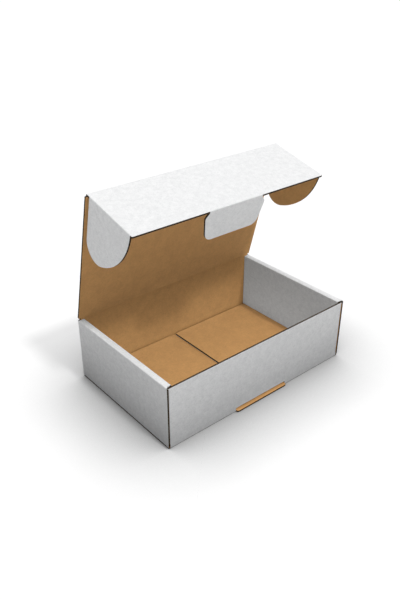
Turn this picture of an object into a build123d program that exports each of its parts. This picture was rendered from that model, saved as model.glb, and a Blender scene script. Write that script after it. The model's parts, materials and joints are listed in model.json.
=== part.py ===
"""Corrugated mailer box: a double-walled tray with a hinged lid, folded from one die-cut sheet.

Millimetres, +Z up.  X runs left to right and Y front to back.  The origin is the middle of the
tray's underside.  The lid is modelled standing open, with its front flap, ears and lock tab
folded square.
"""

import os
from math import acos, cos, degrees, radians, sin

from build123d import *

# ---- the tray, measured outside ----
width = 210.0  # left to right
depth = 131.2  # front to back
height = 61.9  # underside of the base to the top of the side walls
front_wall_drop = 1.3  # the front wall is this much lower, so that the lid closes over its cut edge

# ---- the board ----
board = 1.8  # thickness of one layer of E-flute board
crease_radius = 0.9  # outside radius of a folded crease
ply_gap = 0.15  # air between two layers that lie together
fold_gap = 0.2  # air where a flap's rounded edge meets the panel that carries it

# ---- side walls: outer panel, roll-over top and inner panel ----
ear_gap = 0.35  # slit beside the front wall, where the lid's ears slide in
roll_setback = 0.3  # the roll-over starts this far behind the front wall
roll_back_gap = 0.3  # and stops this far short of the back wall

# ---- floor flaps, on the base ----
seam_gap = 7.0  # between the two flaps, at the middle of the box
floor_gap = 1.2  # from a flap to the front wall and to the back wall

# ---- dust flaps, inside the side walls ----
dust_flap_length = 45.0
dust_flap_corner = 8.0
dust_flap_gap = 0.1  # above the floor flap and under the roll-over

# ---- slot and lip, low in the front wall ----
slot_width = 61.0
slot_slack = 0.2  # height of the slot over the board's thickness
lip_reach = 2.4  # how far the lip stands out in front
lip_corner = 2.0

# ---- lid ----
lid_open = 75.4  # degrees from the closed lid
lid_slack = 0.1  # the closed front flap stands this far in front of the front wall

# ---- front flap ----
flap_fold = 90.0  # degrees from flat
flap_inset = 1.4  # the flap is this much narrower than the lid, each side
flap_corner = 1.0

# ---- ears ----
ear_fold = 90.0
ear_top_slack = 0.9  # the tucked ear clears the roll-over's underside by this
ear_end_slack = 0.6  # and its arc clears the floor flap by this
ear_corner = 15.5

# ---- lock tab ----
tab_fold = 90.0
tab_lift = 0.1  # the tab passes this far above the lip
tab_neck_slack = 3.2  # the neck is this much narrower than the slot
tab_catch = 4.2  # the shoulders are this much wider than the slot
tab_neck_rise = 0.1  # the neck ends this far above the inside face of the front flap
tab_shoulder_depth = 5.9
tab_shoulder_radius = 3.0
tab_end_width = 57.0
tab_depth = 28.4
tab_corner = 8.0

# ---- worked out from the sizes above ----
right = width / 2
back = depth / 2
front = -depth / 2
front_wall_height = height - front_wall_drop
back_wall_top = height - fold_gap
side_bottom = board + ply_gap
floor_flap_top = side_bottom + board
inner_panel_bottom = floor_flap_top + ply_gap
outer_panel_inside = right - board
front_wall_end = outer_panel_inside - ear_gap
inner_panel_outside = front_wall_end - board - ply_gap
inner_panel_inside = inner_panel_outside - board
slot_top = board + board + slot_slack

lid_axis = Vector(0, back - board / 2, height + board / 2)
lid_span = depth + lid_slack  # crease to crease
lid_along = Vector(0, -cos(radians(lid_open)), sin(radians(lid_open)))
lid_out = Vector(0, sin(radians(lid_open)), cos(radians(lid_open)))

flap_axis = lid_axis + lid_along * lid_span
flap_span = height - board - tab_lift  # crease to crease
flap_half = right - flap_inset
flap_along = lid_along * cos(radians(flap_fold)) - lid_out * sin(radians(flap_fold))
flap_out = lid_out * cos(radians(flap_fold)) + lid_along * sin(radians(flap_fold))

ear_axis_x = flap_half - board / 2
ear_start = board / 2 + board + ear_top_slack
ear_radius = lid_axis.Z - floor_flap_top - ear_end_slack

tab_axis = flap_axis + flap_along * flap_span
tab_neck = slot_width - tab_neck_slack
tab_width = slot_width + tab_catch
tab_neck_depth = board / 2 - tab_neck_rise
tab_along = flap_along * cos(radians(tab_fold)) - flap_out * sin(radians(tab_fold))

os.makedirs("parts", exist_ok=True)


def outline(corners):
    """Closed line through corners given as (x, y, corner radius); radius 0 is a sharp corner."""
    points = [(x, y) for x, y, radius in corners]
    FilletPolyline(points, radius=[radius for x, y, radius in corners], close=True)


def mirrored(corners):
    """The corners of a half outline, followed by their mirror images across the Y axis."""
    return corners + [(-x, y, radius) for x, y, radius in reversed(corners)]


def block(x, y, z, mode=Mode.ADD):
    """A box between two limits along each axis."""
    with Locations((x[0], y[0], z[0])):
        Box(x[1] - x[0], y[1] - y[0], z[1] - z[0], align=(Align.MIN,) * 3, mode=mode)


def hinge_plane(origin, crease, along):
    """Mid-plane of a flap: X on the crease that it turns about, Y away from the crease."""
    return Plane(origin=origin, x_dir=crease, z_dir=crease.cross(along))


def rounded_edge(plane, start, end):
    """Round bar of the board's thickness on a plane's X axis: a flap's edge along its crease."""
    across = Plane(origin=plane.origin + plane.x_dir * start, z_dir=plane.x_dir)
    with Locations(across):
        Cylinder(board / 2, end - start, align=(Align.CENTER, Align.CENTER, Align.MIN))


# ---------------------------------------------------------------------------------------------
# Tray: the base with its front and back walls, side walls doubled over their tops, floor flaps
# on the base and dust flaps inside the side walls.  The right half is made, then mirrored.
# ---------------------------------------------------------------------------------------------
with BuildPart() as tray:
    # base, front wall and back wall: one strip with two creases
    with BuildSketch(Plane.YZ):
        with BuildLine():
            outline(
                [
                    (front, 0, crease_radius),
                    (back, 0, crease_radius),
                    (back, back_wall_top, 0),
                    (back - board, back_wall_top, 0),
                    (back - board, board, 0),
                    (front + board, board, 0),
                    (front + board, front_wall_height, 0),
                    (front, front_wall_height, 0),
                ]
            )
        make_face()
    extrude(amount=right)

    # the front wall stops short of the side wall, and the back corner makes room for its crease
    block((front_wall_end, right), (front, front + board), (board, front_wall_height), Mode.SUBTRACT)
    block((right - board, right), (back - board, back), (board, height), Mode.SUBTRACT)
    with BuildSketch(Plane.XY.offset(side_bottom)):
        with BuildLine():
            outline(
                [
                    (right - board, back - board, 0),
                    (right, back - board, 0),
                    (right, back, crease_radius),
                    (right - board, back, 0),
                ]
            )
        make_face()
    extrude(amount=back_wall_top - side_bottom)

    # outer side panel, from the front face to the back corner
    with BuildSketch(Plane.XZ.offset(board - back)):
        with BuildLine():
            outline(
                [
                    (outer_panel_inside, side_bottom, 0),
                    (right, side_bottom, crease_radius),
                    (right, height, crease_radius),
                    (outer_panel_inside, height, 0),
                ]
            )
        make_face()
    extrude(amount=depth - board)

    # floor flap, folded in from the foot of the outer panel
    block(
        (seam_gap / 2, outer_panel_inside),
        (front + board + floor_gap, back - board - floor_gap),
        (side_bottom, floor_flap_top),
    )

    # roll-over top and inner panel
    with BuildSketch(Plane.XZ.offset(board + roll_back_gap - back)):
        with BuildLine():
            outline(
                [
                    (outer_panel_inside, height, 0),
                    (inner_panel_inside, height, crease_radius),
                    (inner_panel_inside, inner_panel_bottom, 0),
                    (inner_panel_outside, inner_panel_bottom, 0),
                    (inner_panel_outside, height - board, 0),
                    (outer_panel_inside, height - board, 0),
                ]
            )
        make_face()
    extrude(amount=depth - 2 * board - roll_back_gap - roll_setback)

    # dust flap, creased to the end of the front wall and trapped inside the side wall
    dust_flap_bottom = inner_panel_bottom + dust_flap_gap
    dust_flap_top = height - board - dust_flap_gap
    block(
        (front_wall_end - board, front_wall_end),
        (front, front + board),
        (dust_flap_bottom, dust_flap_top),
        Mode.SUBTRACT,
    )
    with BuildSketch(Plane.XY.offset(dust_flap_bottom)):
        with BuildLine():
            outline(
                [
                    (front_wall_end - board, front, 0),
                    (front_wall_end, front, crease_radius),
                    (front_wall_end, front + board, 0),
                    (front_wall_end - board, front + board, 0),
                ]
            )
        make_face()
    extrude(amount=dust_flap_top - dust_flap_bottom)
    with BuildSketch(Plane.YZ.offset(front_wall_end - board)):
        with BuildLine():
            outline(
                [
                    (front + board, dust_flap_bottom, 0),
                    (front + dust_flap_length, dust_flap_bottom, dust_flap_corner),
                    (front + dust_flap_length, dust_flap_top, dust_flap_corner),
                    (front + board, dust_flap_top, 0),
                ]
            )
        make_face()
    extrude(amount=board)

    # slot for the lock tab, and the lip that its cut leaves at the front of the base
    block((0, slot_width / 2), (front, front + board), (board, slot_top), Mode.SUBTRACT)
    with BuildSketch(Plane.XY):
        with BuildLine():
            outline(
                [
                    (0, front - lip_reach, 0),
                    (slot_width / 2, front - lip_reach, lip_corner),
                    (slot_width / 2, front + board, 0),
                    (0, front + board, 0),
                ]
            )
        make_face()
    extrude(amount=board)

    mirror(about=Plane.YZ)

tray.part.label = "tray"
export_step(tray.part, "parts/tray.step")

# ---------------------------------------------------------------------------------------------
# Lid: one flat panel as wide as the tray, hinged on the crease at the top of the back wall.
# ---------------------------------------------------------------------------------------------
lid_plane = hinge_plane(lid_axis, Vector(1, 0, 0), lid_along)

with BuildPart() as lid:
    with BuildSketch(lid_plane):
        Rectangle(width, lid_span - board / 2 - fold_gap, align=(Align.CENTER, Align.MIN))
    extrude(amount=board / 2, both=True)
    rounded_edge(lid_plane, -right, right)

lid.part.label = "lid"
export_step(lid.part, "parts/lid.step")

# ---------------------------------------------------------------------------------------------
# Front flap: hangs from the lid's front crease.  Its sides are cut back beside the ears and its
# front edge is cut back behind the lock tab, so that each folds on its own crease.
# ---------------------------------------------------------------------------------------------
flap_plane = hinge_plane(flap_axis, Vector(1, 0, 0), flap_along)
flap_end = flap_span + board / 2
ear_recess = ear_axis_x - board / 2 - fold_gap
tab_recess = flap_span - board / 2 - fold_gap

with BuildPart() as front_flap:
    with BuildSketch(flap_plane):
        with BuildLine():
            outline(
                mirrored(
                    [
                        (flap_half, 0, 0),
                        (flap_half, ear_start - fold_gap, 0),
                        (ear_recess, ear_start - fold_gap, 0),
                        (ear_recess, ear_radius + fold_gap, 0),
                        (flap_half, ear_radius + fold_gap, 0),
                        (flap_half, flap_end, flap_corner),
                        (tab_neck / 2 + fold_gap, flap_end, 0),
                        (tab_neck / 2 + fold_gap, tab_recess, 0),
                    ]
                )
            )
        make_face()
    extrude(amount=board / 2, both=True)
    rounded_edge(flap_plane, -flap_half, flap_half)

front_flap.part.label = "front_flap"
export_step(front_flap.part, "parts/front_flap.step")

# ---------------------------------------------------------------------------------------------
# Ears: one on each side of the front flap.  The outer edge is an arc about the lid's front
# crease, so that the ear swings into the side wall as the flap comes down.
# ---------------------------------------------------------------------------------------------
ear_arc = degrees(acos(ear_start / ear_radius))

for side, name in ((-1, "left_ear"), (1, "right_ear")):
    outward = Vector(side, 0, 0)
    ear_along = outward * cos(radians(ear_fold)) - flap_out * sin(radians(ear_fold))
    ear_plane = hinge_plane(flap_axis + outward * ear_axis_x, flap_along, ear_along)

    with BuildPart() as ear:
        with BuildSketch(ear_plane) as ear_sketch:
            with BuildLine():
                edge = CenterArc((0, 0), ear_radius, 0, ear_arc)
                Polyline(edge @ 1, (ear_start, 0), edge @ 0)
            make_face()
            fillet(ear_sketch.vertices().sort_by(Axis.Y)[-1], radius=ear_corner)
        extrude(amount=board / 2, both=True)
        rounded_edge(ear_plane, ear_start, ear_radius)

    ear.part.label = name
    export_step(ear.part, f"parts/{name}.step")

# ---------------------------------------------------------------------------------------------
# Lock tab: hangs from the front flap's front edge by a neck narrower than the slot, and its
# shoulders, wider than the slot, catch behind the front wall.
# ---------------------------------------------------------------------------------------------
tab_plane = hinge_plane(tab_axis, Vector(1, 0, 0), tab_along)

with BuildPart() as lock_tab:
    with BuildSketch(tab_plane):
        with BuildLine():
            outline(
                mirrored(
                    [
                        (tab_neck / 2, 0, 0),
                        (tab_neck / 2, tab_neck_depth, 0),
                        (tab_width / 2, tab_shoulder_depth, tab_shoulder_radius),
                        (tab_end_width / 2, tab_depth, tab_corner),
                    ]
                )
            )
        make_face()
    extrude(amount=board / 2, both=True)
    rounded_edge(tab_plane, -tab_neck / 2, tab_neck / 2)

lock_tab.part.label = "lock_tab"
export_step(lock_tab.part, "parts/lock_tab.step")
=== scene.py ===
"""Looks of a corrugated mailer box: white outside, kraft inside, folded from one die-cut sheet.

Metres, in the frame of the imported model: the origin is under the middle of the tray, the front
faces -Y, and every panel of board is built where it stands with the lid open.
"""

import json
from math import acos, asin, atan2, cos, pi, radians, sin, sqrt, tan

import bmesh
import bpy
import numpy as np
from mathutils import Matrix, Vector


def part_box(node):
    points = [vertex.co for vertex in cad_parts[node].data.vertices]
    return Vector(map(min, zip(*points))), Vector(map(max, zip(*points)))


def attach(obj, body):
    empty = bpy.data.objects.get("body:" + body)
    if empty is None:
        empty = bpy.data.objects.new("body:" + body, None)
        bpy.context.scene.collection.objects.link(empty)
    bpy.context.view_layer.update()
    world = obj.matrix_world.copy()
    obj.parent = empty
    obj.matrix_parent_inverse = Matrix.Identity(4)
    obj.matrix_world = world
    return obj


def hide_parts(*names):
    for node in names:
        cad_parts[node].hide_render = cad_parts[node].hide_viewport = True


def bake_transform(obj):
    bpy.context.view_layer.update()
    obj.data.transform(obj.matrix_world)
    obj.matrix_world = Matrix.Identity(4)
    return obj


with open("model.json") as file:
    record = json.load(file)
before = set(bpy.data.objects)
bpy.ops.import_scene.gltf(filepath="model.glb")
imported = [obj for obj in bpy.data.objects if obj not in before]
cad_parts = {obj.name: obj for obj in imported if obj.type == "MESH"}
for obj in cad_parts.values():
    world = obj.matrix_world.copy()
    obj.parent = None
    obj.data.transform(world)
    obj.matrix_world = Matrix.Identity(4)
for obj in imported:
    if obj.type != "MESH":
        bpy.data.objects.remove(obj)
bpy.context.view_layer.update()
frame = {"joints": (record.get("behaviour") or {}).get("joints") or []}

# ---------------------------------------------------------------------------------------------
# Base.  The bottom panel of the sheet: E-flute board 1.8 mm thick, a white paper liner outside,
# a brown kraft liner inside and a wavy brown medium glued between them.  It is die cut, and its
# front edge has the lip that the slot's cut leaves standing out.
# ---------------------------------------------------------------------------------------------
mm = 0.001
tray_low, tray_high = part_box("tray")
right = tray_high.x
back = tray_high.y
front = -back
height = tray_high.z
board = 1.8 * mm
liner = 0.17 * mm  # thickness of each paper liner
slit = 0.35 * mm  # between a side wall's outer panel and the dust flap, where an ear goes in
crease_reach = 2.0 * mm  # a flat panel ends this far from the crease that it folds on
back_wall_half = right - crease_reach
front_wall_end = right - board - slit
slot_half = 30.5 * mm
lip_corner = 2.0 * mm
side_inset = 0.5 * mm  # the base's side edges stay this far behind the side walls

medium_sheet = 0.17 * mm  # thickness of the corrugated medium
medium_depth = 0.95 * mm  # how far it is modelled inwards from a cut edge
flute_pitch = 3.25 * mm
flute_samples = 14  # stations along one wave
arc_samples = 8  # stations round one corner


def unit(vector):
    """The vector divided by its length."""
    return np.asarray(vector, float) / np.linalg.norm(vector)


def rounded(corners, closed=True):
    """Line through corners (x, y, radius), each corner an arc tangent to its two sides.

    The arc turns about the point radius / sin(half angle) along the corner's bisector, from the
    direction of one tangent point to that of the other.
    """
    points = np.array([corner[:2] for corner in corners], float)
    line = []
    for index, corner in enumerate(corners):
        point = points[index]
        end = not closed and index in (0, len(corners) - 1)
        if end or corner[2] == 0:
            line.append(point[None])
            continue
        before = unit(points[index - 1] - point)
        after = unit(points[(index + 1) % len(points)] - point)
        half = acos(np.clip(before @ after, -1, 1)) / 2
        centre = point + unit(before + after) * corner[2] / sin(half)
        tangent = corner[2] * cos(half) / sin(half)
        first = unit(point + before * tangent - centre)
        last = unit(point + after * tangent - centre)
        turn = acos(np.clip(first @ last, -1, 1))
        share = np.linspace(0, 1, arc_samples + 1)[:, None]
        ray = (np.sin((1 - share) * turn) * first + np.sin(share * turn) * last) / sin(turn)
        line.append(centre + corner[2] * ray)
    return np.concatenate(line)


def mirrored(corners):
    """The corners of a half outline, followed by their mirror images across x = 0."""
    return corners + [(-x, y, radius) for x, y, radius in reversed(corners)]


def resampled(line, step):
    """The line with its straight stretches cut into pieces no longer than step."""
    pieces = []
    for start, end in zip(line[:-1], line[1:]):
        count = max(1, int(np.ceil(np.linalg.norm(end - start) / step)))
        pieces.append(start + (end - start) * np.arange(count)[:, None] / count)
    return np.concatenate(pieces + [line[-1:]])


class Board:
    """Parts of one piece of board, gathered as closed solids and made into one mesh."""

    white, kraft, medium, rim = range(4)

    def __init__(self):
        self.points, self.faces, self.papers, self.count = [], [], [], 0

    def carry(self, rings, sides, ends=(None, None)):
        """Closed profile carried along a path: rings[i, j] is point j of the profile at station i.

        Neighbouring points of neighbouring stations make a face, and then the two ends are closed.
        sides is the paper of the faces between the stations, or one for each of the profile's sides,
        and ends the papers of the two end faces.
        """
        rings = np.asarray(rings, float)
        stations, around = rings.shape[:2]
        index = np.arange(stations * around).reshape(stations, around) + self.count
        here, ahead = index[:-1], index[1:]
        quads = np.stack([here, ahead, np.roll(ahead, -1, 1), np.roll(here, -1, 1)], -1)
        self.points.append(rings.reshape(-1, 3))
        self.faces += quads.reshape(-1, 4).tolist() + [index[0].tolist(), index[-1, ::-1].tolist()]
        self.papers += np.broadcast_to(sides, here.shape).ravel().tolist() + list(ends)
        self.count += rings.size // 3

    def flutes(self, white_edge, kraft_edge, inward):
        """Medium behind a cut edge, given the edge's line on the white face and on the kraft face.

        Its height over the kraft face is half the board plus a sine of the length along the edge,
        and it is carried inwards.  The sheet is thicker along the board where the wave is steep.
        """
        steps = np.linalg.norm(np.diff(white_edge + kraft_edge, axis=0), axis=1) / 2
        length = np.r_[0, np.cumsum(steps)]
        waves = max(1, round(length[-1] / flute_pitch))
        stations = np.linspace(0, length[-1], waves * flute_samples + 1)

        def along(line):
            return np.stack([np.interp(stations, length, line[:, axis]) for axis in range(3)], -1)

        top, foot, depth = along(white_edge), along(kraft_edge), along(inward)
        swing = 0.5 - (liner + medium_sheet / 2) / board
        phase = 2 * pi * waves * stations / length[-1]
        slope = swing * board * 2 * pi * waves / length[-1] * np.cos(phase)
        half = medium_sheet / 2 / board * np.sqrt(1 + slope**2)
        rise = 0.5 + swing * np.sin(phase)

        def layer(share, reach):
            return foot + (top - foot) * share[:, None] + depth * reach

        over, under = rise + half, rise - half
        rings = np.stack([layer(over, 0), layer(under, 0), layer(under, 1), layer(over, 1)], 1)
        self.carry(rings, [self.rim, self.medium, self.medium, self.medium], (self.medium, self.medium))

    def panel(self, plane, outline, cuts):
        """Flat panel: two liners with the outline's shape, and flutes behind its cut edges.

        plane is (origin, x axis, y axis) on the board's white face, which looks along their cross
        product.  cuts lists pairs (first, last) of corners between which the outline is cut.
        """
        origin, across, up = (np.asarray(vector, float) for vector in plane)
        out = np.cross(across, up)
        line = rounded(outline)

        def place(points, height):
            return origin + points[:, :1] * across + points[:, 1:2] * up + height * out

        self.carry([place(line, -liner), place(line, 0)], self.white, (self.medium, self.white))
        self.carry([place(line, -board), place(line, liner - board)], self.rim, (self.kraft, self.medium))
        for cut in cuts:
            edge, inset = cut_edge(outline, *cut)
            self.flutes(place(edge, 0), place(edge, -board), place(inset, 0) - place(edge, 0))

    def fold(self, section, white_line, ends):
        """Folded strip: a bent section carried along its crease, from ends[0] to ends[1].

        section is (origin, x axis, y axis, crease axis).  white_line lists the corners of the
        section's white face, and the kraft face is on its left.  Each end is a place along the
        crease axis, or a function that gives it for the section's points.
        """
        origin, across, up, crease = (np.asarray(vector, float) for vector in section)
        fine = 0.3 * mm  # longest stretch of the section

        def place(points, end):
            along = end(points) if callable(end) else np.full(len(points), end)
            return origin + points[:, :1] * across + points[:, 1:2] * up + along[:, None] * crease

        def layer(depth):
            outside = resampled(rounded(offset(white_line, depth), closed=False), fine)
            inside = resampled(rounded(offset(white_line, depth + liner), closed=False), fine)
            return len(outside), np.concatenate([outside, inside[::-1]])

        for depth, outer, inner, rim in (
            (0, self.white, self.medium, self.white),
            (board - liner, self.medium, self.kraft, self.rim),
        ):
            line, sheet = layer(depth)
            sides = [outer] * (line - 1) + [inner] * (len(sheet) - line + 1)
            self.carry([place(sheet, end) for end in ends], sides, (rim, rim))
        face, inner = paired(white_line)
        for end, inwards in zip(ends, (1, -1)):
            depth = np.tile(crease * inwards * medium_depth, (len(face), 1))
            self.flutes(place(face, end), place(inner, end), depth)

    def piece(self, name, smooth_angle=40):
        """One Blender object with the gathered solids, its faces outwards, riding on nothing yet."""
        mesh = bpy.data.meshes.new(name)
        mesh.from_pydata(np.concatenate(self.points).tolist(), [], self.faces)
        for material in (white_material, kraft_material, medium_painted_shade_material, rim_painted_shade_material):
            mesh.materials.append(material)
        mesh.polygons.foreach_set("material_index", self.papers)
        solid = bmesh.new()
        solid.from_mesh(mesh)
        bmesh.ops.recalc_face_normals(solid, faces=solid.faces)
        solid.to_mesh(mesh)
        solid.free()
        mesh.shade_smooth()
        mesh.set_sharp_from_angle(angle=radians(smooth_angle))
        piece = bpy.data.objects.new(name, mesh)
        bpy.context.scene.collection.objects.link(piece)
        return piece

    def flip(self):
        """The same board mirrored to the other side of the box, x to -x."""
        self.points = [points * (-1, 1, 1) for points in self.points]
        return self


def offset(corners, distance):
    """The corners of an open line moved to its left by distance, with each radius shortened by it."""
    points = np.array([corner[:2] for corner in corners], float)
    steps = np.diff(points, axis=0)
    steps /= np.linalg.norm(steps, axis=1)[:, None]
    left = np.stack([-steps[:, 1], steps[:, 0]], -1)
    before, after = np.concatenate([left[:1], left]), np.concatenate([left, left[-1:]])
    moved = points + distance * (before + after) / (1 + (before * after).sum(1))[:, None]
    return [(x, y, max(corner[2] - distance, 0)) for (x, y), corner in zip(moved, corners)]


def paired(white_line):
    """Points along a bent section's white face, and as many facing them on its kraft face."""
    kraft_line = offset(white_line, board)
    face, inner = [], []
    for index, (corner, partner) in enumerate(zip(white_line, kraft_line)):
        if index in (0, len(white_line) - 1):
            face.append(np.array([corner[:2]]))
        else:
            face.append(rounded(white_line[index - 1 : index + 2], closed=False)[1:-1])
        inner.append(np.tile(partner[:2], (len(face[-1]), 1)))
    return np.concatenate(face), np.concatenate(inner)


def cut_edge(outline, first, last):
    """Stretch of a panel's outline from corner first to corner last, and the same stretch inset.

    Each point moves inwards along the mean of its two sides' normals, by medium_depth, or by less
    where the outline turns on a small radius.
    """
    count = len(outline)
    share = 0.8  # of the smallest radius, at most
    blunt = -0.2  # cosine of the sharpest turn that is mitred in full
    stop = last if last > first else last + count
    chosen = [outline[index % count] for index in range(first, stop + 1)]
    small = min([corner[2] for corner in chosen[1:-1] if corner[2] > 0] + [medium_depth / share])
    edge = rounded(chosen, closed=False)
    steps = np.diff(edge, axis=0)
    steps /= np.linalg.norm(steps, axis=1)[:, None]
    left = np.stack([-steps[:, 1], steps[:, 0]], -1)
    before, after = np.concatenate([left[:1], left]), np.concatenate([left, left[-1:]])
    mitre = (before + after) / (1 + np.clip((before * after).sum(1), blunt, 1))[:, None]
    return edge, edge + mitre * min(medium_depth, share * small)


def node_group(name, inputs, outputs):
    """Empty shader group with named inputs (name, default) and outputs, and its two end nodes."""
    group = bpy.data.node_groups.new(name, "ShaderNodeTree")
    for label, default in inputs:
        kind = "NodeSocketVector" if default is None else "NodeSocketFloat"
        socket = group.interface.new_socket(label, in_out="INPUT", socket_type=kind)
        if default is not None:
            socket.default_value = default
    for label in outputs:
        group.interface.new_socket(label, in_out="OUTPUT", socket_type="NodeSocketFloat")
    return group, group.nodes.new("NodeGroupInput"), group.nodes.new("NodeGroupOutput")


def math_node(nodes, links, operation, *values):
    """A Math node of that operation, with each value a number or another node's socket."""
    node = nodes.new("ShaderNodeMath")
    node.operation = operation
    for socket, value in zip(node.inputs, values):
        if isinstance(value, (int, float)):
            socket.default_value = value
        else:
            links.new(value, socket)
    return node.outputs[0]


def colour_mix(nodes, links, share, none, full):
    """Colour from none, where share is 0, to full, where it is 1: each a colour or a node's socket."""
    node = nodes.new("ShaderNodeMix")
    node.data_type = "RGBA"
    for label, value in (("Factor", share), ("A", none), ("B", full)):
        if isinstance(value, tuple):
            node.inputs[label].default_value = (*value, 1)
        else:
            links.new(value, node.inputs[label])
    return node.outputs["Result"]


def paper_group():
    """Paper furnish: cloudy formation of the pulp, fine fibre flecks, and the felt's grain."""
    coarse_size = 0.22  # of the clouds' size, for the smaller clouds mixed in with them
    fibre_turn = (0.5, 0.4, 0.6)  # turn of the fibres, so that they follow no edge of the box
    fleck_threshold, fleck_contrast = 0.8, 5.0
    grain_size = 0.6  # of the flecks' size
    inputs = [("Vector", None), ("Cloud Size", 0.006), ("Fleck Size", 0.0008), ("Fleck Density", 0.2)]
    group, start, end = node_group("paper_furnish", inputs, ["Clouds", "Flecks", "Grain"])
    nodes, links = group.nodes, group.links

    def noise(size, detail, roughness, stretch=None):
        texture = nodes.new("ShaderNodeTexNoise")
        texture.inputs["Detail"].default_value = detail
        texture.inputs["Roughness"].default_value = roughness
        source = start.outputs["Vector"]
        if stretch:
            mapping = nodes.new("ShaderNodeMapping")
            mapping.inputs["Scale"].default_value = stretch
            mapping.inputs["Rotation"].default_value = fibre_turn
            links.new(source, mapping.inputs["Vector"])
            source = mapping.outputs["Vector"]
        links.new(source, texture.inputs["Vector"])
        links.new(math_node(nodes, links, "DIVIDE", 1.0, size), texture.inputs["Scale"])
        return texture.outputs["Fac"]

    clouds = noise(start.outputs["Cloud Size"], 4.0, 0.6)
    coarse = noise(math_node(nodes, links, "MULTIPLY", start.outputs["Cloud Size"], coarse_size), 3.0, 0.6)
    mixed = math_node(nodes, links, "ADD", clouds, coarse)
    links.new(math_node(nodes, links, "MULTIPLY", mixed, 0.5), end.inputs["Clouds"])

    one_way = noise(start.outputs["Fleck Size"], 2.0, 0.5, (1.0, 0.25, 1.0))
    other_way = noise(start.outputs["Fleck Size"], 2.0, 0.5, (0.25, 1.0, 0.4))
    thick = math_node(nodes, links, "MAXIMUM", one_way, other_way)
    threshold = math_node(nodes, links, "SUBTRACT", fleck_threshold, start.outputs["Fleck Density"])
    above = math_node(nodes, links, "SUBTRACT", thick, threshold)
    flecks = nodes.new("ShaderNodeClamp")
    links.new(math_node(nodes, links, "MULTIPLY", above, fleck_contrast), flecks.inputs["Value"])
    links.new(flecks.outputs[0], end.inputs["Flecks"])

    fine = math_node(nodes, links, "MULTIPLY", start.outputs["Fleck Size"], grain_size)
    links.new(noise(fine, 3.0, 0.7), end.inputs["Grain"])
    return group


paper_furnish = paper_group()


def paper_material(
    name, light, dark, fleck, cloud_size, fleck_size, fleck_density, roughness, relief, bounce=None
):
    """Uncoated paper: a colour between two shades by its clouds, darker flecks, and a fine grain.

    bounce is the colour that the paper throws onto what stands near it, if it is not its own.
    """
    cloud_low, cloud_high = 0.38, 0.62  # the clouds' noise at the dark and at the light shade
    fleck_strength = 0.6
    roughness_spread = 0.06
    material = bpy.data.materials.new(name)
    material.use_nodes = True
    nodes, links = material.node_tree.nodes, material.node_tree.links
    shader = nodes["Principled BSDF"]
    place = nodes.new("ShaderNodeTexCoord")
    furnish = nodes.new("ShaderNodeGroup")
    furnish.node_tree = paper_furnish
    furnish.inputs["Cloud Size"].default_value = cloud_size
    furnish.inputs["Fleck Size"].default_value = fleck_size
    furnish.inputs["Fleck Density"].default_value = fleck_density
    links.new(place.outputs["Object"], furnish.inputs["Vector"])

    shade = nodes.new("ShaderNodeMapRange")
    shade.inputs["From Min"].default_value = cloud_low
    shade.inputs["From Max"].default_value = cloud_high
    links.new(furnish.outputs["Clouds"], shade.inputs["Value"])
    clouded = colour_mix(nodes, links, shade.outputs["Result"], dark, light)
    flecks = math_node(nodes, links, "MULTIPLY", furnish.outputs["Flecks"], fleck_strength)
    colour = colour_mix(nodes, links, flecks, clouded, fleck)
    if bounce:
        seen = nodes.new("ShaderNodeLightPath")
        colour = colour_mix(nodes, links, seen.outputs["Is Camera Ray"], bounce, colour)
    links.new(colour, shader.inputs["Base Color"])

    rough = nodes.new("ShaderNodeMapRange")
    rough.inputs["To Min"].default_value = roughness - roughness_spread
    rough.inputs["To Max"].default_value = roughness + roughness_spread
    links.new(furnish.outputs["Grain"], rough.inputs["Value"])
    links.new(rough.outputs["Result"], shader.inputs["Roughness"])
    shader.inputs["Specular IOR Level"].default_value = 0.25
    bump = nodes.new("ShaderNodeBump")
    bump.inputs["Strength"].default_value = relief
    bump.inputs["Distance"].default_value = 0.05 * mm
    links.new(furnish.outputs["Grain"], bump.inputs["Height"])
    links.new(bump.outputs["Normal"], shader.inputs["Normal"])
    return material


white_material = paper_material(
    "bleached_liner",
    light=(0.915, 0.918, 0.92),
    dark=(0.79, 0.795, 0.80),
    fleck=(0.70, 0.705, 0.71),
    cloud_size=4 * mm,
    fleck_size=0.9 * mm,
    fleck_density=0.22,
    roughness=0.62,
    relief=0.5,
)
kraft_material = paper_material(
    "kraft_liner",
    light=(0.76, 0.41, 0.155),
    dark=(0.66, 0.35, 0.13),
    fleck=(0.48, 0.25, 0.085),
    cloud_size=9 * mm,
    fleck_size=0.45 * mm,
    fleck_density=0.2,
    roughness=0.7,
    relief=0.6,
    bounce=(0.66, 0.64, 0.62),
)
# Partly painted shade: the kraft liner's cut edges and the flutes' cut faces have the kraft's brown,
# darkened to under a third of it so that the cut edges read as dark lines.
rim_painted_shade_material = paper_material(
    "cut_kraft_edge_painted_shade",
    light=(0.23, 0.15, 0.09),
    dark=(0.15, 0.10, 0.06),
    fleck=(0.10, 0.06, 0.04),
    cloud_size=3 * mm,
    fleck_size=0.5 * mm,
    fleck_density=0.2,
    roughness=0.8,
    relief=0.4,
)
# Painted shade: the inside of the board, the medium and the liners' inner sides seen in the flute
# channels, is a near-black brown far darker than its own kraft.
medium_painted_shade_material = paper_material(
    "fluting_medium_painted_shade",
    light=(0.060, 0.036, 0.020),
    dark=(0.036, 0.022, 0.012),
    fleck=(0.02, 0.012, 0.006),
    cloud_size=3 * mm,
    fleck_size=0.5 * mm,
    fleck_density=0.2,
    roughness=0.8,
    relief=0.4,
)


def ride_tray(piece):
    """A piece of the tray: it rides on the tray and stands for its solid."""
    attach(piece, "tray")
    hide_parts("tray")


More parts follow.
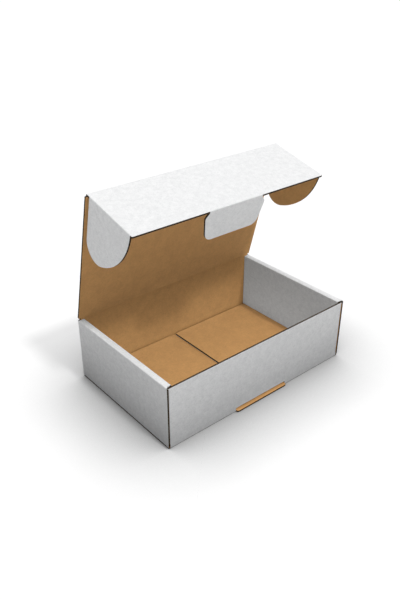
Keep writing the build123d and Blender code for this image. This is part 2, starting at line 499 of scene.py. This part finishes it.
base_outline = mirrored(
    [
        (slot_half, tray_low.y, lip_corner),
        (slot_half, front + crease_reach, 0),
        (front_wall_end, front + crease_reach, 0),
        (front_wall_end, front, 0),
        (right - side_inset, front, 0),
        (right - side_inset, back, 0),
        (back_wall_half, back, 0),
        (back_wall_half, back - crease_reach, 0),
    ]
)
base = Board()
base_plane = ((0, 0, 0), (-1, 0, 0), (0, 1, 0))
base.panel(base_plane, base_outline, [(2, 7), (8, 13), (14, 1)])
ride_tray(base.piece("base"))

# ---------------------------------------------------------------------------------------------
# Front wall.  The same strip folded up from the base on a crease that the slot interrupts.  Its
# top edge is a plain cut, its ends are creased to the dust flaps, and the slot is open below.
# ---------------------------------------------------------------------------------------------
crease_radius = 0.9 * mm  # outside radius of a folded crease
slack = 0.1 * mm  # between boards that are folded against each other
front_wall_top = height - 1.3 * mm
front_wall_corner = 0.5 * mm
slot_top = 3.8 * mm
dust_flap_low = 4.0 * mm
dust_flap_high = height - board - slack
end_crease = front_wall_end - crease_reach

x_axis, y_axis, z_axis = np.eye(3)
front_wall = Board()
front_wall.panel(
    (front * y_axis, x_axis, z_axis),
    mirrored(
        [
            (slot_half, slot_top, 0),
            (slot_half, crease_reach, 0),
            (front_wall_end, crease_reach, 0),
            (front_wall_end, dust_flap_low, 0),
            (end_crease, dust_flap_low, 0),
            (end_crease, dust_flap_high, 0),
            (front_wall_end, dust_flap_high, 0),
            (front_wall_end, front_wall_top, front_wall_corner),
        ]
    ),
    [(14, 1), (2, 4), (5, 10), (11, 13)],
)
ride_tray(front_wall.piece("front_wall"))

front_foot = [(front, crease_reach, 0), (front, 0, crease_radius), (front + crease_reach, 0, 0)]
lengthways = (0 * x_axis, y_axis, z_axis, x_axis)
front_crease = Board()
front_crease.fold(lengthways, front_foot, (slot_half, front_wall_end))
front_crease.fold(lengthways, front_foot, (-front_wall_end, -slot_half))
ride_tray(front_crease.piece("front_wall_crease"))

# ---------------------------------------------------------------------------------------------
# Back wall.  The strip folded up at the other end of the base.  Its ends are creased to the side
# walls and its top is creased to the lid, so that none of its edges is cut.
# ---------------------------------------------------------------------------------------------
pivots = {joint["name"]: np.array(joint["pos_m"]) for joint in frame["joints"]}
lid_pivot = pivots["lid_hinge"]

back_wall = Board()
back_wall.panel(
    (back * y_axis, -x_axis, z_axis),
    mirrored([(back_wall_half, crease_reach, 0), (back_wall_half, lid_pivot[2] - crease_reach, 0)]),
    [],
)
back_foot = [(back - crease_reach, 0, 0), (back, 0, crease_radius), (back, crease_reach, 0)]
back_wall.fold(lengthways, back_foot, (-back_wall_half, back_wall_half))
ride_tray(back_wall.piece("back_wall"))

# ---------------------------------------------------------------------------------------------
# Side walls.  Each outer panel is creased to the back wall, rolls over at the top into an inner
# panel that stands on the floor, and turns in at its foot into a half floor that lies on the base.
# ---------------------------------------------------------------------------------------------
side_bottom = 1.95 * mm
back_wall_top = height - 0.2 * mm
inner_face = 99.1 * mm
inner_panel_bottom = 3.9 * mm
rolled_from = height - crease_reach
rolled_front = front + board + slack  # the roll-over is mitred back to here behind the front wall
rolled_back = back - crease_reach
floor_flap_end = back - board - 1.2 * mm
seam_half = 3.5 * mm
foot_radius = 0.3 * mm  # the foot is pressed sharp between the wall and the base
upright = (0 * x_axis, x_axis, z_axis, y_axis)
level = (0 * x_axis, x_axis, y_axis, z_axis)


def mitred_front(points):
    """Front end of the roll-over: square to the front wall's inside, then slanting to the front."""
    return np.interp(points[:, 0], [front_wall_end, right], [rolled_front, front])


for side in ("right", "left"):
    outer_panel = Board()
    outer_panel.panel(
        (right * x_axis, y_axis, z_axis),
        [
            (front, side_bottom, 0),
            (-floor_flap_end, side_bottom, 0),
            (-floor_flap_end, side_bottom + crease_reach, 0),
            (floor_flap_end, side_bottom + crease_reach, 0),
            (floor_flap_end, side_bottom, 0),
            (back - crease_reach, side_bottom, 0),
            (back - crease_reach, rolled_from, 0),
            (front, rolled_from, 0),
        ],
        [(7, 2), (3, 5)],
    )
    corner = [(right, back - crease_reach, 0), (right, back, crease_radius), (back_wall_half, back, 0)]
    outer_panel.fold(level, corner, (side_bottom, back_wall_top))

    inner_panel = Board()
    inner_panel.panel(
        (inner_face * x_axis, -y_axis, z_axis),
        [
            (-rolled_back, inner_panel_bottom, 0),
            (-rolled_front, inner_panel_bottom, 0),
            (-rolled_front, rolled_from, 0),
            (-rolled_back, rolled_from, 0),
        ],
        [(3, 2)],
    )
    roll_over = [
        (right, rolled_from, 0),
        (right, height, crease_radius),
        (inner_face, height, crease_radius),
        (inner_face, rolled_from, 0),
    ]
    inner_panel.fold(upright, roll_over, (mitred_front, rolled_back))

    floor_flap = Board()
    floor_flap.panel(
        (side_bottom * z_axis, x_axis, -y_axis),
        [
            (seam_half, -floor_flap_end, 0),
            (right - crease_reach, -floor_flap_end, 0),
            (right - crease_reach, floor_flap_end, 0),
            (seam_half, floor_flap_end, 0),
        ],
        [(2, 1)],
    )
    foot = [
        (right - crease_reach, side_bottom, 0),
        (right, side_bottom, foot_radius),
        (right, side_bottom + crease_reach, 0),
    ]
    floor_flap.fold(upright, foot, (-floor_flap_end, floor_flap_end))

    parts = {"outer_panel": outer_panel, "inner_panel": inner_panel, "floor_flap": floor_flap}
    for name, part in parts.items():
        ride_tray((part if side == "right" else part.flip()).piece(f"{side}_{name}"))

# ---------------------------------------------------------------------------------------------
# Dust flaps.  Creased to the ends of the front wall, they are folded back and trapped between
# the outer and the inner panel of each side wall, which is what holds the front wall up.
# ---------------------------------------------------------------------------------------------
dust_flap_end = front + 45 * mm
dust_flap_corner = 8 * mm

for side in ("right", "left"):
    dust_flap = Board()
    dust_flap.panel(
        (front_wall_end * x_axis, y_axis, z_axis),
        [
            (front + crease_reach, dust_flap_low, 0),
            (dust_flap_end, dust_flap_low, dust_flap_corner),
            (dust_flap_end, dust_flap_high, dust_flap_corner),
            (front + crease_reach, dust_flap_high, 0),
        ],
        [(0, 3)],
    )
    end_fold = [
        (end_crease, front, 0),
        (front_wall_end, front, crease_radius),
        (front_wall_end, front + crease_reach, 0),
    ]
    dust_flap.fold(level, end_fold, (dust_flap_low, dust_flap_high))
    ride_tray((dust_flap if side == "right" else dust_flap.flip()).piece(f"{side}_dust_flap"))

# ---------------------------------------------------------------------------------------------
# Lid.  A flat panel as wide as the tray.  Its only hinge is the crease at the top of the back
# wall, a strip of the same board bent between the two.
# ---------------------------------------------------------------------------------------------
flap_half = right - 1.4 * mm
edge_gap = 1.1 * mm  # beside a crease strip, the lid's cut edge stops this far from the crease
lid_along = unit(pivots["flap_fold"] - lid_pivot)
lid_out = np.cross(lid_along, x_axis)
lid_span = np.linalg.norm(pivots["flap_fold"] - lid_pivot)


def outer_face(pivot, along, out):
    """Plane of a hanging panel's white face: its x axis runs to the left and its y axis along it."""
    return (pivot + out * board / 2, -x_axis, along)


def hinge_strip(name, pivot, before, out, after, ends):
    """Crease between two panels, a strip of the same board bent about the pivot line.

    The board comes along before, with its white face towards out, and leaves along after.  The
    faces stay half the board from the pivot line, so the white face turns on an arc about it.
    """
    turn = acos(np.clip(before @ after, -1, 1))
    line = [
        (-crease_reach, -board / 2, 0),
        (board / 2 * tan(turn / 2), -board / 2, board / 2),
        (
            crease_reach * cos(turn) + board / 2 * sin(turn),
            crease_reach * sin(turn) - board / 2 * cos(turn),
            0,
        ),
    ]
    strip = Board()
    strip.fold((pivot, before, -out, np.cross(before, -out)), line, ends)
    piece = strip.piece(name)
    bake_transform(piece)


def ride_flap(piece, node):
    """A hanging panel rides on its own body and stands for its solid."""
    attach(piece, node)
    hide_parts(node)


lid = Board()
lid.panel(
    outer_face(lid_pivot, lid_along, lid_out),
    mirrored(
        [
            (back_wall_half, crease_reach, 0),
            (back_wall_half, edge_gap, 0),
            (right, edge_gap, 0),
            (right, lid_span - edge_gap, 0),
            (flap_half, lid_span - edge_gap, 0),
            (flap_half, lid_span - crease_reach, 0),
        ]
    ),
    [(0, 5), (6, 11)],
)
ride_flap(lid.piece("lid_panel"), "lid")
hinge_strip(
    "lid_crease", lid_pivot, z_axis, y_axis, lid_along, (-back_wall_half, back_wall_half)
)

# ---------------------------------------------------------------------------------------------
# Front flap.  Folded square from the lid's front crease, it is a little narrower than the lid,
# and its edges are cut between the creases of the two ears and of the lock tab.
# ---------------------------------------------------------------------------------------------
flap_along = unit(pivots["tab_fold"] - pivots["flap_fold"])
flap_out = np.cross(flap_along, x_axis)
flap_span = np.linalg.norm(pivots["tab_fold"] - pivots["flap_fold"])
flap_corner = 1.0 * mm
ear_crease = pivots["right_ear_fold"][0]
ear_start = 3.6 * mm
ear_radius = 58.45 * mm
tab_neck_half = 28.9 * mm

front_flap = Board()
front_flap.panel(
    outer_face(pivots["flap_fold"], flap_along, flap_out),
    mirrored(
        [
            (flap_half, crease_reach, 0),
            (flap_half, ear_start, 0),
            (ear_crease - crease_reach, ear_start, 0),
            (ear_crease - crease_reach, ear_radius, 0),
            (flap_half, ear_radius, 0),
            (flap_half, flap_span + board / 2, flap_corner),
            (tab_neck_half, flap_span + board / 2, 0),
            (tab_neck_half, flap_span - crease_reach, 0),
        ]
    ),
    [(0, 2), (3, 7), (8, 12), (13, 15)],
)
ride_flap(front_flap.piece("front_flap_panel"), "front_flap")
hinge_strip(
    "front_flap_crease",
    pivots["flap_fold"],
    lid_along,
    lid_out,
    flap_along,
    (-flap_half, flap_half),
)

# ---------------------------------------------------------------------------------------------
# Ears.  One hangs from each side of the front flap.  The long edge is an arc about the lid's
# front crease, so that it swings into the side wall, and a smaller arc rounds its back corner.
# ---------------------------------------------------------------------------------------------
ear_corner = 15.5 * mm
long_arc_samples, corner_arc_samples = 40, 30
ear_along = -flap_out
corner_x = ear_start + ear_corner
corner_y = sqrt((ear_radius - ear_corner) ** 2 - corner_x**2)
meeting = atan2(corner_y, corner_x)
long_arc = np.linspace(asin(crease_reach / ear_radius), meeting, long_arc_samples)
corner_arc = np.linspace(meeting, pi, corner_arc_samples)[1:]
ear_outline = [(ear_start, crease_reach, 0)]
ear_outline += [(ear_radius * cos(angle), ear_radius * sin(angle), 0) for angle in long_arc]
ear_outline += [
    (corner_x + ear_corner * cos(angle), corner_y + ear_corner * sin(angle), 0) for angle in corner_arc
]

for side, name in ((1, "right_ear"), (-1, "left_ear")):
    ear = Board()
    white_face = pivots["right_ear_fold"] + x_axis * board / 2
    ear.panel((white_face, flap_along, ear_along), ear_outline, [(1, 0)])
    ride_flap((ear if side == 1 else ear.flip()).piece(f"{name}_panel"), name)
    outward = side * x_axis
    reach = sorted(side * -place for place in (ear_start, ear_radius))
    hinge_strip(
        f"{name}_crease", pivots[f"{name}_fold"], outward, flap_out, ear_along, reach
    )

# ---------------------------------------------------------------------------------------------
# Lock tab.  It hangs from the front flap by a neck, and its rounded shoulders are wider than the
# slot, so that it stays in once it has been pushed through.
# ---------------------------------------------------------------------------------------------
tab_neck_end = 1.2 * mm
shoulder_half, shoulder_place, shoulder_radius = 32.6 * mm, 5.9 * mm, 3.0 * mm
tip_half, tip_place, tip_radius = 28.5 * mm, 28.4 * mm, 8.0 * mm
tab_along = -flap_out
tab_out = np.cross(tab_along, x_axis)

lock_tab = Board()
lock_tab.panel(
    outer_face(pivots["tab_fold"], tab_along, tab_out),
    mirrored(
        [
            (tab_neck_half, crease_reach, 0),
            (tab_neck_half, tab_neck_end, 0),
            (shoulder_half, shoulder_place, shoulder_radius),
            (tip_half, tip_place, tip_radius),
        ]
    ),
    [(0, 7)],
)
ride_flap(lock_tab.piece("lock_tab_panel"), "lock_tab")
hinge_strip(
    "lock_tab_crease",
    pivots["tab_fold"],
    flap_along,
    flap_out,
    tab_along,
    (-tab_neck_half, tab_neck_half),
)

# ---------------------------------------------------------------------------------------------
# Studio.  A white floor that runs out of sight, with painted shade round the box, a white sky that is
# brightest overhead, and one distant soft light high in front of the box.  The camera stands to the left
# front and looks down.
# ---------------------------------------------------------------------------------------------
scene = bpy.context.scene
scene.view_settings.view_transform = "Standard"

floor_half = 20.0
floor_white = (0.985, 0.985, 0.985)
contact_shade_reach = 0.075
# Painted shade for bounce light: rays that are not the camera's see the floor dark near the box's
# footprint, standing in for its shadow there.
near_reach, far_reach = 0.01, 0.16  # from the box, where the floor throws back least and most light
painted_shade_bounce, far_bounce = 0.02, 0.80
floor_mesh = bpy.data.meshes.new("floor")
floor_corners = [(x * floor_half, y * floor_half, 0) for x, y in ((-1, -1), (1, -1), (1, 1), (-1, 1))]
floor_mesh.from_pydata(floor_corners, [], [(0, 1, 2, 3)])
floor = bpy.data.objects.new("floor", floor_mesh)
scene.collection.objects.link(floor)
floor_material = bpy.data.materials.new("floor_white")
floor_material.use_nodes = True
nodes, links = floor_material.node_tree.nodes, floor_material.node_tree.links
floor_shader = nodes["Principled BSDF"]
floor_shader.inputs["Roughness"].default_value = 1.0
floor_shader.inputs["Specular IOR Level"].default_value = 0.0
seen = nodes.new("ShaderNodeLightPath")
place = nodes.new("ShaderNodeTexCoord")
# Distance from the box's footprint: the length of what |place| has over the half size, if anything.
link = place.outputs["Object"]
footprint = (right, back, 0)
for operation, value in (
    ("ABSOLUTE", None),
    ("SUBTRACT", footprint),
    ("MAXIMUM", (0, 0, 0)),
    ("LENGTH", None),
):
    step = nodes.new("ShaderNodeVectorMath")
    step.operation = operation
    if value:
        step.inputs[1].default_value = value
    links.new(link, step.inputs[0])
    link = step.outputs["Value" if operation == "LENGTH" else "Vector"]
near = nodes.new("ShaderNodeMapRange")
near.interpolation_type = "SMOOTHSTEP"
near.inputs["From Min"].default_value = near_reach
near.inputs["From Max"].default_value = far_reach
near.inputs["To Min"].default_value = painted_shade_bounce
near.inputs["To Max"].default_value = far_bounce
links.new(link, near.inputs["Value"])
# Painted shade: for camera rays the floor's white is darkened by ambient occlusion near the box, standing
# in for the shade round its foot.
painted_contact_shade = nodes.new("ShaderNodeAmbientOcclusion")
painted_contact_shade.inputs["Color"].default_value = (*floor_white, 1)
painted_contact_shade.inputs["Distance"].default_value = contact_shade_reach
painted_contact_shade.samples = 12
# Camera rays see the white with its painted contact shade, other rays the painted shade near the
# footprint.
floor_colour = colour_mix(
    nodes, links, seen.outputs["Is Camera Ray"], near.outputs["Result"], painted_contact_shade.outputs["Color"]
)
links.new(floor_colour, floor_shader.inputs["Base Color"])
floor.data.materials.append(floor_material)

zenith_strength = 1.66
zenith_power = 2.0  # the sky's light falls off as the height in it to this power
world = bpy.data.worlds.new("white_sky")
scene.world = world
world.use_nodes = True
nodes, links = world.node_tree.nodes, world.node_tree.links
sky = nodes["Background"]
seen = nodes.new("ShaderNodeLightPath")
direction = nodes.new("ShaderNodeTexCoord")
axes = nodes.new("ShaderNodeSeparateXYZ")
links.new(direction.outputs["Generated"], axes.inputs[0])
above_horizon = math_node(nodes, links, "MAXIMUM", axes.outputs["Z"], 0.0)
overhead = math_node(nodes, links, "POWER", above_horizon, zenith_power)
glow = math_node(nodes, links, "MULTIPLY", overhead, zenith_strength)
sky_strength = nodes.new("ShaderNodeMix")
links.new(seen.outputs["Is Camera Ray"], sky_strength.inputs["Factor"])
links.new(glow, sky_strength.inputs["A"])
sky_strength.inputs["B"].default_value = 1.0
sky.inputs["Color"].default_value = (1.0, 1.0, 1.0, 1)
links.new(sky_strength.outputs["Result"], sky.inputs["Strength"])

key_strength = 0.28 * pi
key_direction = Vector((0.09, -0.67, 1.0))
key = bpy.data.objects.new("key_light", bpy.data.lights.new("key_light", "SUN"))
key.data.angle = radians(6)
key.data.energy = key_strength
key.rotation_euler = key_direction.to_track_quat("Z", "Y").to_euler()
scene.collection.objects.link(key)

camera_distance = 619.3 * mm
camera_aside, camera_raise = -12.7 * mm, 36.0 * mm  # off the line through the target, in the view
azimuth, elevation = radians(-40.0), radians(30.0)
camera = bpy.data.objects.new("camera", bpy.data.cameras.new("camera"))
camera.data.lens = 39.33
camera.data.sensor_width = 36.0
camera.data.clip_start = 0.01
camera.data.clip_end = 100.0
away = np.array([sin(azimuth) * cos(elevation), -cos(azimuth) * cos(elevation), sin(elevation)])
aside = np.array([cos(azimuth), sin(azimuth), 0.0])
above = np.cross(away, aside)
target = np.array([0, 0, height / 2])
camera.location = target + away * camera_distance + aside * camera_aside + above * camera_raise
camera.rotation_euler = (-Vector(away)).to_track_quat("-Z", "Y").to_euler()
scene.collection.objects.link(camera)
scene.camera = camera
